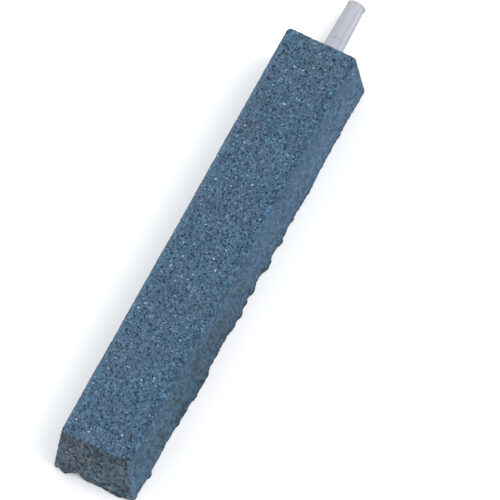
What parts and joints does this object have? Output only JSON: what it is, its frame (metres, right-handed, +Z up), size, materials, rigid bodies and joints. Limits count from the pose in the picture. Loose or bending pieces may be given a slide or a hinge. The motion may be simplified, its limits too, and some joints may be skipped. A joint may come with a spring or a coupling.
{
  "type": "air stone",
  "caption": "Long bar air stone: a drafted block of bonded blue mineral grit with a blind air channel, and a clear lipped hose tube bonded into one end.",
  "frame": {"origin": "centre of the base face, the wide rough face that the bar rests on", "axes": "+X along the bar and out of the inlet end, +Z up from the base face, the bar is symmetric about y = 0"},
  "size_m": [0.175, 0.027, 0.0225],
  "materials": {
    "bonded_grit": "rough, open grained, matt with small glints",
    "clear_plastic": "clear moulded plastic, slightly milky",
    "clear_adhesive": "clear cured resin, glossy"
  },
  "bodies": {
    "root": {"stone_body": "bonded_grit", "inlet_tube": "clear_plastic", "adhesive_seal": "clear_adhesive"}
  },
  "joints": []
}
